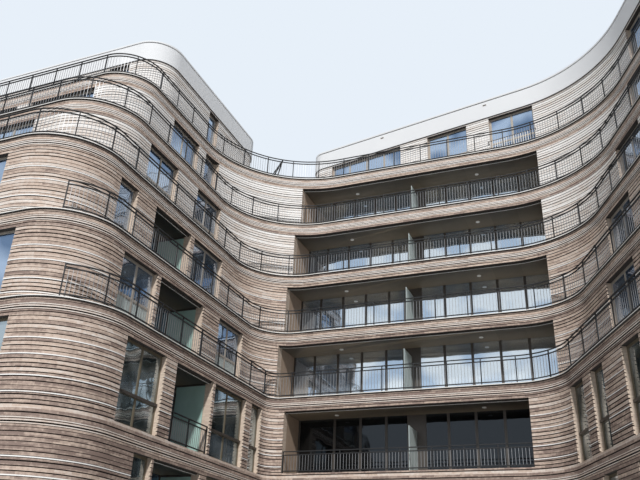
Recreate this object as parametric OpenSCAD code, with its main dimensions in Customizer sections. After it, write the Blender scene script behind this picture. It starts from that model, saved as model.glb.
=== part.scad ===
// Apartment block round a courtyard: a left wing, a court block with stacked loggias and a slanted
// right wing, eight storeys high. From the third floor up each storey stands back from the one below,
// and the strip left over is a terrace behind a railing. The two top pavilions leave a roof terrace
// between them. Millimetres, +Z up. The origin is on the ground, under the middle of the court block.

/* [Storeys] */
// Height of the ground and first storeys, floor to floor
low_storey_h = 3100; // [2900:10:3400]
// Height of the second storey, floor to floor
second_storey_h = 3350; // [3000:10:3600]
// Height of each storey above, floor to floor
storey_h = 3050; // [2900:10:3300]
// Height of the crown's top above the seventh floor
crown_top_h = 3800; // [3600:10:4200]
// Height of the white crown on the pavilions
crown_h = 1150; // [800:10:1300]
// Height of the brick band over the openings of a storey
band_h = 600; // [500:10:700]

/* [Plan] */
// Left end of the block
left_end_x = -20500; // [-20800:50:-19000]
// Right end of the block
right_end_x = 19000; // [17500:50:19200]
// Depth of the court block, from the third floor's ledge to the rear wall
block_d = 11000; // [10000:50:12500]
// Length of the wings in front of that ledge
wing_l = 12900; // [12000:50:13400]
// Ledge of the third floor along the left wing
wing_x = -6050; // [-6400:10:-5800]
// Where the third floor's two right ledge lines would meet
corner_x = 5820; // [5700:10:6200]
// Angle that the right wing turns from the court block
turn = 67; // [60:0.5:75]

/* [Setbacks] */
// How far the ledges of floors four to seven stand back on the left wing
wing_setback = [700, 700, 750, 850]; // [500:10:1000]
// How far they stand back on the court block
court_setback = [350, 500, 650, 700]; // [300:10:900]
// How far their right corners move out
corner_setback = [720, 580, 560, 580]; // [400:10:900]
// How far they stand back on the front of both wings
front_setback = [0, 0, 1900, 2150]; // [0:10:2400]

/* [Rounding] */
// Radius of the third ledge's noses
nose_r = 2500; // [2000:10:2800]
// Radius of the noses above it
nose_r_above = [2200, 2400, 2400, 1800]; // [1500:10:2600]
// Radius of the third ledge in the left corner of the court
left_r = 500; // [400:10:900]
// Radius in that corner above it
left_r_above = [1600, 2500, 3800, 5000]; // [900:10:5200]
// Radius of the third ledge in the right corner of the court
right_r = 2100; // [1500:10:2600]
// Radius in that corner above it
right_r_above = [2700, 4000, 5000, 6000]; // [2000:10:6400]
// Largest step along a round stretch, in degrees
arc_step = 6; // [4:0.5:9]

/* [Walls and floors] */
// Thickness of the outer walls
wall_t = 350; // [300:10:420]
// Thickness of the floor slabs
slab_t = 300; // [250:10:350]
// Thickness of the ground slab
base_t = 200; // [150:10:300]
// Thickness of the ledge coping and terrace deck
coping_t = 60; // [40:5:80]
// How far a ledge stands out past the wall under it
lip = 60; // [30:5:100]
// Depth cut free in front of an opening where the wall is curved
reach = 600; // [500:10:700]
// Thickness of the roof slabs
roof_t = 350; // [250:10:400]
// How far the crown stands out past the pavilion wall
crown_lip = 60; // [30:5:100]
// How much of the wall's top the crown stands on
crown_seat = 250; // [200:10:280]

/* [Windows] */
// Height of a window's sill over the floor
sill_h = 80; // [60:10:120]
// Setting of the windows behind the wall face
window_set = 180; // [120:10:220]
// Depth of the window frames
frame_d = 80; // [60:5:100]
// Face width of the window frames
frame_w = 60; // [45:5:80]
// Thickness of the double glazing
glass_t = 28; // [20:1:36]
// Width of the windows in the rear wall
rear_window_w = 2200; // [1600:50:2600]
// Distance from one rear window to the next
rear_bay = 4600; // [4200:50:5000]
// Sill height of the rear windows
rear_sill_h = 850; // [600:10:1000]
// Clear width of the entrance
door_w = 1800; // [1400:10:2200]
// Thickness of the entrance door
door_t = 60; // [45:5:80]
// Height of the panel at its foot
door_rail_h = 300; // [150:10:500]

/* [Loggias] */
// Depth of the loggias from the wall face to the glass front
loggia_d = 1600; // [1400:10:1900]
// Distance of the upper court loggias from the third ledge's line on the left wing
loggia_gap = 100; // [60:10:300]
// How far they run past the point where the third floor's right ledge lines would meet
loggia_run = 130; // [0:10:200]
// Left end of the lower court loggias
low_loggia_x = -5400; // [-5600:10:-5200]
// Width of the lower court loggias
low_loggia_w = 10160; // [9800:10:10400]
// Pier between two court windows of the ground floor
court_pier = 350; // [200:10:500]
// Pier between such a window and the entrance
door_pier = 430; // [200:10:600]
// Height of the kerb under the lower court loggias
kerb_h = 200; // [100:10:300]
// Thickness of the loggias' side walls
cheek_t = 120; // [90:10:150]
// Left side of the pier in the upper glass fronts
pier_x = -600; // [-700:10:-500]
// Left side of the pier in the lower ones
low_pier_x = -350; // [-500:10:-250]
// Width of those piers
pier_w = 650; // [500:10:800]
// Depth of those piers
pier_d = 200; // [120:10:300]
// Thickness of the ceiling panels
soffit_t = 40; // [30:5:50]
// How far the ceiling panels stay behind the wall face
soffit_set = 120; // [80:10:160]
// Thickness of the screen between two flats
screen_t = 30; // [20:2:40]
// Height of that screen
screen_h = 2000; // [1800:10:2100]
// Gap under that screen
screen_gap = 60; // [40:5:100]

/* [Railings] */
// Height of the railings over the ledge
rail_h = 1100; // [1000:10:1200]
// Distance between the two top rails
rail_gap = 140; // [100:5:180]
// Width of a rail
rail_w = 50; // [30:2:60]
// Height of a rail
rail_t = 35; // [15:1:40]
// Distance of the railings from the ledge's edge
rail_set = 60; // [40:5:100]
// Gap under the bottom rail
rail_foot = 80; // [60:5:120]
// Distance from post to post
post_pitch = 1400; // [1200:50:1600]
// How far a post's sides stay inside the sides of the rails
post_inset = 5; // [3:0.5:9]
// Angle on the nose where the third and fourth railings begin
rail_start = 57; // [45:1:65]

/* [Pavilions] */
// Face of the left pavilion towards the court
left_pavilion_x = -9700; // [-9900:10:-9600]
// How far both pavilions stand back from the front of the wings
pavilion_set = 6400; // [6200:10:6700]
// Distance of the left pavilion's rear face behind the third ledge of the court block
left_pavilion_d = 3600; // [3200:10:4000]
// Nose radius of the left pavilion
pavilion_nose_r = 1400; // [1200:10:1700]
// Radius of its rear corner
pavilion_rear_r = 1200; // [900:10:1400]
// Left end of the right pavilion
right_pavilion_x = -6900; // [-7200:10:-6700]
// Radius of its rounded left corner
right_pavilion_r = 800; // [600:10:1000]
// Distance of its court face behind that ledge, on the middle line
skew_set = 3973; // [3900:10:4050]
// Angle of that face to the court block
skew = 11; // [8:0.5:14]
// Where that face would meet the pavilion's right wing face
skew_corner_x = 8866; // [8750:10:9000]
// Radius between those two faces
skew_r = 6400; // [5500:10:6800]

/* [Hidden] */
court_y = -block_d / 2;
rear_y = block_d / 2;
front_y = court_y - wing_l;
pavilion_front_y = front_y + pavilion_set;
left_pavilion_rear_y = court_y + left_pavilion_d;
skew_y = court_y + skew_set;

brick = [0.55, 0.47, 0.42];
pale_brick = [0.82, 0.76, 0.68];
reveal_brick = [0.78, 0.66, 0.55];
concrete = [0.72, 0.71, 0.69];
coping_white = [0.88, 0.87, 0.84];
render_white = [0.93, 0.93, 0.93];
anthracite = [0.13, 0.14, 0.15];
bronze = [0.25, 0.22, 0.2];
panel_beige = [0.5, 0.44, 0.37];
frosted = [0.72, 0.82, 0.8];
eps = 1;

first_ledge = 3;
top_floor = 7;
floor_z = [
    0, low_storey_h, 2 * low_storey_h, 2 * low_storey_h + second_storey_h,
    for (i = [1:4]) 2 * low_storey_h + second_storey_h + i * storey_h
];
crown_top_z = floor_z[top_floor] + crown_top_h;
crown_base_z = crown_top_z - crown_h;

// Where each storey's slab ends and its wall begins, and the underside of the floor above
function slab_top(k) = k == 0 ? base_t : k < first_ledge ? floor_z[k] : floor_z[k] - coping_t;
function slab_base(k) = k == 0 ? 0 : slab_top(k) - slab_t;
function wall_top(k) = k == top_floor ? crown_base_z : slab_base(k + 1);
function head_z(k) = k == top_floor ? crown_base_z - lip : floor_z[k + 1] - band_h;
function sum_to(v, n) = n <= 0 ? 0 : v[n - 1] + sum_to(v, n - 1);
function pick(first, above, i) = i == 0 ? first : above[i - 1];

// A plan is [wing x, court y, corner x, front y, nose r, left r, right r, left end, right end, rear]
function ledge_plan(k) = let(i = k - first_ledge) [
    wing_x - sum_to(wing_setback, i),
    court_y + sum_to(court_setback, i),
    corner_x + sum_to(corner_setback, i),
    front_y + sum_to(front_setback, i),
    pick(nose_r, nose_r_above, i),
    pick(left_r, left_r_above, i),
    pick(right_r, right_r_above, i),
    left_end_x, right_end_x, rear_y + lip
];
// The same plan with its faces moved inwards by d, and its two ends by e
function inset(p, d, e) = [
    p[0] - d, p[1] + d, p[2] + d * tan(turn / 2), p[3] + d,
    p[4] - d, p[5] + d, p[6] + d, p[7] + e, p[8] - e, p[9] - d
];
function storey_plan(k) = inset(ledge_plan(max(k + 1, first_ledge)), lip, 0);
function slab_plan(k) = inset(ledge_plan(max(k, first_ledge)), lip, 0);

function arc(centre, r, from, to) = let(n = ceil(abs(to - from) / arc_step))
    [for (i = [0:n]) let(a = from + (to - from) * i / n) centre + r * [cos(a), sin(a)]];
// Centre of the right nose: one radius inside the slanted face and the front
function right_nose(p) = let(y = p[3] + p[4])
    [p[2] + (p[4] - cos(turn) * (y - p[1])) / sin(turn), y];
function court_arcs(p) = let(tangent = p[6] * tan(turn / 2)) concat(
    arc([p[0] + p[5], p[1] - p[5]], p[5], 180, 90),
    arc([p[2] - tangent, p[1] - p[6]], p[6], 90, 90 - turn)
);
function left_nose(p) = [p[0] - p[4], p[3] + p[4]];
// From the front of the left wing round the court to the front of the right wing
function front_path(p, from = -90, to = 270) = concat(
    arc(left_nose(p), p[4], from, 0),
    court_arcs(p),
    arc(right_nose(p), p[4], 270 - turn, to)
);
function outline(p) = concat(
    [[p[7], p[3]]], front_path(p), [[p[8], p[3]], [p[8], p[9]], [p[7], p[9]]]
);

// Pavilions on the seventh floor, with every face moved inwards by d
function left_pavilion(d) = let(
    x = left_pavilion_x - d, y0 = pavilion_front_y + d, y1 = left_pavilion_rear_y - d,
    rn = pavilion_nose_r - d, rr = pavilion_rear_r - d)
    concat(
        [[left_end_x + d, y0]],
        arc([x - rn, y0 + rn], rn, -90, 0),
        arc([x - rr, y1 - rr], rr, 0, 90),
        [[left_end_x + d, y1]]
    );
skew_corner = [skew_corner_x, skew_y - skew_corner_x * tan(skew)];
function skew_point(x, d) = [x, skew_y + d / cos(skew) - x * tan(skew)];
function right_pavilion(d) = let(
    rs = skew_r + d,
    inwards = [sin((turn + skew) / 2), cos((turn + skew) / 2)] / cos((turn - skew) / 2),
    corner = skew_corner + d * inwards,
    middle = corner - rs * inwards,
    rn = pavilion_nose_r - d, yf = pavilion_front_y + d,
    nose = [corner[0] + (rn - cos(turn) * (yf + rn - corner[1])) / sin(turn), yf + rn],
    rl = right_pavilion_r - d, xl = right_pavilion_x + d,
    left_mid = [xl + rl, skew_point(xl + rl, d)[1] + rl / cos(skew)])
    concat(
        arc(left_mid, rl, 180, 270 - skew),
        arc(middle, rs, 90 - skew, 90 - turn),
        arc(nose, rn, 270 - turn, 270),
        [[right_end_x - d, yf], [right_end_x - d, rear_y - d], [xl, rear_y - d]]
    );

// Faces of the block. Each gives a frame with X along the face, Y into the wall.
FRONT = 0;
WING = 1;
COURT = 2;
RIGHT = 3;
REAR = 4;
SKEW = 5;
WEST = 6;
NORTH = 7;
module at_face(face, p) {
    if (face == FRONT) translate([0, p[3], 0]) children();
    if (face == WING) translate([p[0], court_y, 0]) rotate(90) children();
    if (face == COURT) translate([0, p[1], 0]) children();
    if (face == RIGHT) translate([p[2], p[1], 0]) rotate(-turn) children();
    if (face == REAR) translate([0, p[9], 0]) rotate(180) children();
    if (face == SKEW) translate([0, skew_y, 0]) rotate(-skew) children();
    if (face == WEST) translate([right_pavilion_x, rear_y, 0]) rotate(-90) children();
    if (face == NORTH) translate([0, left_pavilion_rear_y, 0]) rotate(180) children();
}
// The pavilions' faces as a plan, for the same frames
pavilion_plan = [
    left_pavilion_x, skew_corner[1], skew_corner[0], pavilion_front_y, 0, 0, 0,
    left_end_x, right_end_x, rear_y
];
function plan_of(k) = k == top_floor ? pavilion_plan : storey_plan(k);

// Windows as [face, start along the face, width, sill height]
function rear_row(from, to) = [
    for (x = [from:rear_bay:to]) [REAR, -x - rear_window_w, rear_window_w, rear_sill_h]
];
rear_windows = rear_row(left_end_x + 1900, right_end_x - rear_window_w - 1000);
front_bay = 3400;
wide = 2250;
function front_row(right_edge, n) = [
    for (i = [0:n - 1]) [FRONT, right_edge - wide - i * front_bay, wide, sill_h]
];
right_front = [[FRONT, 14700, wide, sill_h]];
low_right = [
    [RIGHT, 1250, 1250, sill_h], [RIGHT, 3200, 1100, sill_h], [RIGHT, 5850, 1250, sill_h],
    [RIGHT, 8600, wide, sill_h]
];
entrance_x = low_loggia_x + (low_loggia_w - door_w) / 2;
court_window = ((low_loggia_w - door_w) / 2 - court_pier - door_pier) / 2;
court_windows = [
    for (x = [low_loggia_x, entrance_x + door_w + door_pier], i = [0, 1])
        [COURT, x + i * (court_window + court_pier), court_window, sill_h]
];
windows = [
    concat(rear_windows, front_row(-8500, 3), right_front, low_right, court_windows, [
        [WING, -10300, wide, sill_h], [WING, -7370, 2570, sill_h], [WING, -4650, 2550, sill_h]
    ]),
    concat(rear_windows, front_row(-8500, 3), right_front, low_right, [
        [WING, -9100, 1000, sill_h], [WING, -4650, 2550, sill_h], [WING, -1600, 950, sill_h]
    ]),
    concat(rear_windows, front_row(-8500, 3), right_front, low_right, [
        [WING, -10300, wide, sill_h], [WING, -4650, 2550, sill_h], [WING, -1600, 950, sill_h]
    ]),
    concat(rear_windows, front_row(-9150, 3), right_front, [
        [RIGHT, 3700, wide, sill_h], [RIGHT, 7400, wide, sill_h],
        [WING, -10300, 2050, sill_h], [WING, -3700, 2100, sill_h]
    ]),
    concat(rear_windows, front_row(-10350, 3), right_front, [
        [RIGHT, 3100, 2100, sill_h], [RIGHT, 6800, wide, sill_h],
        [WING, -10300, 1070, sill_h], [WING, -5200, 2400, sill_h]
    ]),
    concat(rear_windows, front_row(-11700, 2), right_front, [
        [RIGHT, 3600, 2100, sill_h], [RIGHT, 6800, wide, sill_h],
        [WING, -8050, 2100, sill_h], [WING, -4300, 2100, sill_h]
    ]),
    concat(rear_windows, right_front, [
        [FRONT, -14600, 3500, sill_h], [FRONT, -18200, 2800, sill_h],
        [RIGHT, 4300, 2100, sill_h],
        [WING, -5650, wide, sill_h], [WING, -2750, 1100, sill_h]
    ]),
    concat(rear_row(-4800, right_end_x - rear_window_w - 1000), right_front, [
        [FRONT, -12700, 1150, sill_h], [FRONT, -17600, wide, sill_h],
        [WING, -2000, 950, sill_h],
        [SKEW, -5700, 4400, sill_h], [SKEW, 310, 2230, sill_h], [SKEW, 3760, 2290, sill_h],
        [RIGHT, 3800, 2100, sill_h],
        [WEST, 1700, 2200, sill_h],
        [NORTH, 11900, 2200, sill_h], [NORTH, 16200, 2200, sill_h]
    ])
];
// Loggias as [face, start along the face, width, sill height]
loggia_x = wing_x + loggia_gap;
upper_loggia = [COURT, loggia_x, corner_x + loggia_run - loggia_x, 0];
lower_loggia = [COURT, low_loggia_x, low_loggia_w, kerb_h];
loggias = [
    [],
    [lower_loggia, [WING, -8000, 2900, sill_h]],
    [lower_loggia, [WING, -7370, 2570, sill_h]],
    [upper_loggia, [WING, -8050, 3050, 0]],
    [upper_loggia, [WING, -8050, 2600, 0]],
    [upper_loggia],
    [upper_loggia],
    []
];

function foot_z(k, sill) = sill == 0 ? slab_top(k) : floor_z[k] + (k == 0 ? base_t : 0) + sill;
function loggia_pier_x(w) = w[3] == 0 ? pier_x : low_pier_x;

// Box through a wall where a window or loggia is
module opening(k, w) {
    low = w[3] == 0 ? slab_top(k) - eps : foot_z(k, w[3]);
    at_face(w[0], plan_of(k))
        translate([w[1], -reach, low])
            cube([w[2], reach + wall_t + eps, head_z(k) - low]);
}

module ring(outer, inner, h) {
    linear_extrude(height = h) difference() {
        polygon(outer);
        polygon(inner);
    }
}

module storey_wall(k) {
    p = storey_plan(k);
    color(k < 4 ? brick : pale_brick) difference() {
        translate([0, 0, slab_top(k)])
            ring(outline(p), outline(inset(p, wall_t, wall_t)), wall_top(k) - slab_top(k));
        for (w = concat(windows[k], loggias[k])) opening(k, w);
        if (k == 0) opening(k, [COURT, entrance_x, door_w, 0]);
    }
}

module pavilion_wall(outer, inner, faces) {
    color(pale_brick) difference() {
        translate([0, 0, slab_top(top_floor)])
            ring(outer, inner, wall_top(top_floor) - slab_top(top_floor));
        for (w = windows[top_floor]) if (len(search(w[0], faces)) > 0) opening(top_floor, w);
    }
}

module floor_slab(k) {
    color(concrete) translate([0, 0, slab_base(k)])
        linear_extrude(height = slab_top(k) - slab_base(k)) polygon(outline(slab_plan(k)));
}

// Coping and deck of a ledge, up to the wall that stands on the floor, and into its loggias
module ledge(k) {
    p = storey_plan(k);
    color(coping_white) translate([0, 0, slab_top(k)]) linear_extrude(height = coping_t) difference() {
        polygon(outline(ledge_plan(k)));
        difference() {
            polygon(outline(p));
            for (w = loggias[k]) at_face(w[0], p)
                translate([w[1], -reach]) square([w[2], reach + loggia_d]);
        }
    }
}
module roof_terrace() {
    color(coping_white) translate([0, 0, slab_top(top_floor)]) linear_extrude(height = coping_t)
        difference() {
            polygon(outline(ledge_plan(top_floor)));
            polygon(left_pavilion(0));
            polygon(right_pavilion(0));
        }
}

// A frame with its pane. The mullions aren't part of it.
module window_unit(w, h) {
    translate([0, (frame_d - glass_t) / 2, 0]) cube([w, glass_t, h]);
    difference() {
        cube([w, frame_d, h]);
        translate([frame_w, -eps, frame_w])
            cube([w - 2 * frame_w, frame_d + 2 * eps, h - 2 * frame_w]);
    }
}

module storey_windows(k) {
    color(bronze) {
        for (w = windows[k]) at_face(w[0], plan_of(k))
            translate([w[1], window_set, foot_z(k, w[3])])
                window_unit(w[2], head_z(k) - foot_z(k, w[3]));
        for (w = loggias[k]) loggia_front(k, w);
    }
}

// Glass front at the back of a loggia, in two parts beside the pier where there is one
module loggia_front(k, w) {
    h = wall_top(k) - slab_top(k);
    pier = loggia_pier_x(w);
    at_face(w[0], storey_plan(k)) translate([0, loggia_d, slab_top(k)]) {
        if (w[0] == COURT) {
            translate([w[1], 0, 0]) window_unit(pier - w[1], h);
            translate([pier + pier_w, 0, 0]) window_unit(w[1] + w[2] - pier - pier_w, h);
        } else translate([w[1], 0, 0]) window_unit(w[2], h);
    }
}

// Heights of the rails over the ledge, and the posts, which end inside the top rail
rail_heights = [rail_foot, rail_h - rail_gap - rail_t, rail_h - rail_t];
post_w = rail_w - 2 * post_inset;
post_h = rail_h - rail_t / 2;

// Posts every post_pitch along a path
function path_length(path, n) = n <= 0 ? 0
    : norm(path[n] - path[n - 1]) + path_length(path, n - 1);
function lengths(path) = [for (i = [0:len(path) - 1]) path_length(path, i)];
module rail_path(path, z) {
    run = lengths(path);
    total = run[len(run) - 1];
    count = ceil(total / post_pitch);
    for (i = [0:count]) {
        s = min(max(i * total / count, post_w), total - post_w);
        j = max([for (n = [0:len(run) - 2]) if (run[n] <= s) n]);
        step = path[j + 1] - path[j];
        translate(concat(path[j] + step * (s - run[j]) / norm(step), z))
            rotate(atan2(step[1], step[0]))
                translate([-post_w / 2, -post_w / 2, 0]) cube([post_w, post_w, post_h]);
    }
}

// Two paths at the rail's two sides make its band
function reverse(v) = [for (i = [len(v) - 1:-1:0]) v[i]];
module band(outer, inner, z, h) {
    translate([0, 0, z]) linear_extrude(height = h) polygon(concat(outer, reverse(inner)));
}

// The line of a railing, d inside the ledge's edge. The lower two begin on the noses.
function rail_line(k, d) = let(p = inset(ledge_plan(k), d, 0), on_nose = k < first_ledge + 2)
    on_nose ? front_path(p, -rail_start, 180 + rail_start)
    : concat([[left_end_x, p[3]]], front_path(p), [[right_end_x, p[3]]]);

module railing(k) {
    z = floor_z[k];
    color(anthracite) {
        rail_path(rail_line(k, rail_set + rail_w / 2), z);
        for (h = rail_heights)
            band(rail_line(k, rail_set), rail_line(k, rail_set + rail_w), z + h, rail_t);
        if (k == top_floor) roof_terrace_railing(z);
    }
}

// Railing on the rear and left edge of the roof terrace
function terrace_line(d) = [
    [left_end_x + d, left_pavilion_rear_y], [left_end_x + d, rear_y - d], [right_pavilion_x, rear_y - d]
];
module roof_terrace_railing(z) {
    rail_path(terrace_line(rail_set + rail_w / 2), z);
    for (h = rail_heights)
        band(terrace_line(rail_set), terrace_line(rail_set + rail_w), z + h, rail_t);
}

// Straight railing of width w from jamb to jamb, on a kerb of height foot
module infill_railing(w, foot) {
    for (h = [foot + rail_heights[0], rail_heights[1], rail_heights[2]])
        translate([0, 0, h]) cube([w, rail_w, rail_t]);
    count = ceil(w / post_pitch);
    for (i = [0:count]) translate([min(i * w / count, w - post_w), post_inset, foot])
        cube([post_w, post_w, post_h - foot]);
}

// Side walls of a loggia, from the outer wall to the back of its glass front
module side_walls(k, w) {
    p = storey_plan(k);
    translate([0, 0, slab_top(k)]) linear_extrude(height = wall_top(k) - slab_top(k)) intersection() {
        polygon(outline(inset(p, wall_t, wall_t)));
        at_face(w[0], p) for (x = [w[1] - cheek_t, w[1] + w[2]])
            translate([x, -reach]) square([cheek_t, reach + loggia_d + frame_d]);
    }
}
module soffit(k, w) {
    p = storey_plan(k);
    translate([0, 0, head_z(k) - soffit_t]) linear_extrude(height = soffit_t) intersection() {
        polygon(outline(inset(p, soffit_set, 0)));
        at_face(w[0], p) translate([w[1], -reach]) square([w[2], reach + loggia_d]);
    }
}
module loggia_cheeks() {
    color(reveal_brick) for (k = [0:top_floor]) for (w = loggias[k]) side_walls(k, w);
}
module loggia_soffits() {
    color(panel_beige) for (k = [0:top_floor]) for (w = loggias[k]) soffit(k, w);
}
module loggia_piers() {
    color(anthracite) for (k = [0:top_floor]) for (w = loggias[k]) if (w[0] == COURT)
        at_face(COURT, storey_plan(k)) translate([loggia_pier_x(w), loggia_d, slab_top(k)])
            cube([pier_w, pier_d, wall_top(k) - slab_top(k)]);
}
module loggia_screens() {
    color(frosted) for (k = [0:top_floor]) for (w = loggias[k]) if (w[0] == COURT)
        at_face(COURT, storey_plan(k))
            translate([loggia_pier_x(w) + (pier_w - screen_t) / 2, wall_t, floor_z[k] + screen_gap])
                cube([screen_t, loggia_d - wall_t, screen_h - screen_gap]);
}
module loggia_rails() {
    color(anthracite) for (k = [0:top_floor]) for (w = loggias[k]) if (w[3] > 0)
        at_face(w[0], storey_plan(k)) translate([w[1], rail_set, floor_z[k]])
            infill_railing(w[2], w[3]);
}

module entrance_door() {
    h = head_z(0) - slab_top(0);
    color(bronze) at_face(COURT, storey_plan(0)) translate([entrance_x, window_set, slab_top(0)]) {
        window_unit(door_w, h);
        translate([0, (frame_d - door_t) / 2, 0]) cube([door_w, door_t, door_rail_h]);
    }
}

module left_pavilion_wall() {
    pavilion_wall(left_pavilion(0), left_pavilion(wall_t), [FRONT, WING, NORTH]);
}
module right_pavilion_wall() {
    pavilion_wall(right_pavilion(0), right_pavilion(wall_t), [FRONT, RIGHT, REAR, SKEW, WEST]);
}
module roof_slab(plan) {
    color(concrete) translate([0, 0, crown_base_z]) linear_extrude(height = roof_t) polygon(plan);
}
module crown(outer, inner) {
    color(render_white) translate([0, 0, crown_base_z]) ring(outer, inner, crown_h);
}
module left_roof() roof_slab(left_pavilion(crown_seat));
module right_roof() roof_slab(right_pavilion(crown_seat));
module left_crown() crown(left_pavilion(-crown_lip), left_pavilion(crown_seat));
module right_crown() crown(right_pavilion(-crown_lip), right_pavilion(crown_seat));

module ground_slab() floor_slab(0);
module first_floor() floor_slab(1);
module second_floor() floor_slab(2);
module third_floor() floor_slab(3);
module fourth_floor() floor_slab(4);
module fifth_floor() floor_slab(5);
module sixth_floor() floor_slab(6);
module seventh_floor() floor_slab(7);
module ground_wall() storey_wall(0);
module first_wall() storey_wall(1);
module second_wall() storey_wall(2);
module third_wall() storey_wall(3);
module fourth_wall() storey_wall(4);
module fifth_wall() storey_wall(5);
module sixth_wall() storey_wall(6);
module third_ledge() ledge(3);
module fourth_ledge() ledge(4);
module fifth_ledge() ledge(5);
module sixth_ledge() ledge(6);
module seventh_ledge() roof_terrace();
module third_railing() railing(3);
module fourth_railing() railing(4);
module fifth_railing() railing(5);
module sixth_railing() railing(6);
module seventh_railing() railing(7);
module ground_windows() storey_windows(0);
module first_windows() storey_windows(1);
module second_windows() storey_windows(2);
module third_windows() storey_windows(3);
module fourth_windows() storey_windows(4);
module fifth_windows() storey_windows(5);
module sixth_windows() storey_windows(6);
module seventh_windows() storey_windows(7);

ground_slab();
first_floor();
second_floor();
third_floor();
fourth_floor();
fifth_floor();
sixth_floor();
seventh_floor();
ground_wall();
first_wall();
second_wall();
third_wall();
fourth_wall();
fifth_wall();
sixth_wall();
left_pavilion_wall();
right_pavilion_wall();
third_ledge();
fourth_ledge();
fifth_ledge();
sixth_ledge();
seventh_ledge();
third_railing();
fourth_railing();
fifth_railing();
sixth_railing();
seventh_railing();
ground_windows();
first_windows();
second_windows();
third_windows();
fourth_windows();
fifth_windows();
sixth_windows();
seventh_windows();
left_roof();
right_roof();
left_crown();
right_crown();
loggia_cheeks();
loggia_piers();
loggia_soffits();
loggia_screens();
loggia_rails();
entrance_door();
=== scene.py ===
import math
from collections import namedtuple

import bmesh
import bpy
import numpy as np
from mathutils import Matrix, Vector
from mathutils.geometry import tessellate_polygon


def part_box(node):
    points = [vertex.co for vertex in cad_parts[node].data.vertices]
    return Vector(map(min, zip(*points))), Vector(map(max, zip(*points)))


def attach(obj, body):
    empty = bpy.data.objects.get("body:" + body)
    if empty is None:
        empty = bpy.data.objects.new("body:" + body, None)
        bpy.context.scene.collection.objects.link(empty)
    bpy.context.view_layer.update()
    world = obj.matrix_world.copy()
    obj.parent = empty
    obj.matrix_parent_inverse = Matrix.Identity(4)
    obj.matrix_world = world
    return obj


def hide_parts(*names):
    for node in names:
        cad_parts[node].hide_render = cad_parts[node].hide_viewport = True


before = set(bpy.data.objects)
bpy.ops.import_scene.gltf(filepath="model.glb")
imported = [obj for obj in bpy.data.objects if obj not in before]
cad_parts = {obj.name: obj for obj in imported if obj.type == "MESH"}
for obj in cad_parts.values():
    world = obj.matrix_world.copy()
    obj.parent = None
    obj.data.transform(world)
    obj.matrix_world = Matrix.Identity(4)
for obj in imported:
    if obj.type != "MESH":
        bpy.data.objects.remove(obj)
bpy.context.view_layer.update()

# The camera stands in the mouth of the court at eye height, turned to the left and tilted up at the
# roof, with a slight roll, as the photograph was taken.
EYE = Vector((7.7, -33.6, 1.65))
HEADING, PITCH, ROLL = math.radians(22.7), math.radians(26.65), math.radians(2.42)
LENS, SENSOR_W, CLIP_END = 40.8, 36, 300

level_right = Vector((math.cos(HEADING), math.sin(HEADING), 0))
forward = Vector((-math.sin(HEADING) * math.cos(PITCH), math.cos(HEADING) * math.cos(PITCH),
                  math.sin(PITCH)))
level_up = level_right.cross(forward)
camera_right = math.cos(ROLL) * level_right + math.sin(ROLL) * level_up
camera_up = math.cos(ROLL) * level_up - math.sin(ROLL) * level_right
turned = Matrix((camera_right, camera_up, -forward)).transposed().to_4x4()
camera = bpy.data.objects.new("camera", bpy.data.cameras.new("camera"))
camera.data.lens = LENS
camera.data.sensor_width = SENSOR_W
camera.data.clip_end = CLIP_END
camera.matrix_world = Matrix.Translation(EYE) @ turned
bpy.context.scene.collection.objects.link(camera)
bpy.context.scene.camera = camera

# The outer walls. Long hard-fired bricks lie in low courses with deep raked bed joints, brown at the
# foot of the block and paler with each storey, the lowest storeys' darker brown partly painted shade,
# with thin cream courses between them. The two party walls are plain render.
NAMES = ("ground", "first", "second", "third", "fourth", "fifth", "sixth", "seventh")
FIRST_LEDGE, TOP = 3, 7
COPING, LIP, WALL, BAND = 0.06, 0.06, 0.35, 0.6
slab_nodes = ["ground_slab"] + [f"{name}_floor" for name in NAMES[1:]]
slab_low = [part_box(node)[0].z for node in slab_nodes]
slab_high = [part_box(node)[1].z for node in slab_nodes]
crown_low, crown_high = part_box("left_crown")[0].z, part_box("left_crown")[1].z
floor_z = [z if k < FIRST_LEDGE else z + COPING for k, z in enumerate(slab_high)]
floor_z[0] = 0.0
wall_high = slab_low[1:] + [crown_low]
head_z = [z - BAND for z in floor_z[1:]] + [crown_low - LIP]
storey_top = floor_z[1:] + [crown_low]

left_x, right_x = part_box("ground_wall")[0].x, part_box("ground_wall")[1].x
rear_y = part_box("ground_wall")[1].y
COURT_D, TURN = 12.9, math.radians(67)
court_y = -rear_y
front_y = court_y - COURT_D
# Ledges of the third to the seventh floor: left wing, court and right corner lines, front line, and
# the radii of the noses and of the two corners of the court
wing_line = np.cumsum([-6.05, -0.7, -0.7, -0.75, -0.85])
court_line = court_y + np.cumsum([0, 0.35, 0.5, 0.65, 0.7])
corner_line = np.cumsum([5.82, 0.72, 0.58, 0.56, 0.58])
front_line = front_y + np.cumsum([0, 0, 0, 1.9, 2.15])
nose_r = (2.5, 2.2, 2.4, 2.4, 1.8)
left_r = (0.5, 1.6, 2.5, 3.8, 5.0)
right_r = (2.1, 2.7, 4.0, 5.0, 6.0)
# The two pavilions on the seventh floor: how far their faces stand behind the front and the court,
# and the radii of their corners. The right one's court face is turned by the skew.
FRONT_BACK, NORTH_BACK, SKEW_BACK, SKEW = 6.4, 3.6, 3.973, math.radians(11)
pavilion_front = front_y + FRONT_BACK
pavilion_nose, pavilion_rear_r = 1.4, 1.2
left_pavilion_x, left_pavilion_rear = -9.7, court_y + NORTH_BACK
right_pavilion_x, right_pavilion_r = -6.9, 0.8
skew_y, skew_corner_x, skew_r = court_y + SKEW_BACK, 8.866, 6.4
skew_corner = np.array([skew_corner_x, skew_y - skew_corner_x * math.tan(SKEW)])


def straight(a, b, *faces):
    """A straight stretch of a plan from a to b, and the facades that it belongs to."""
    return ("line", np.array(a, float), np.array(b, float), faces)


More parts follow.
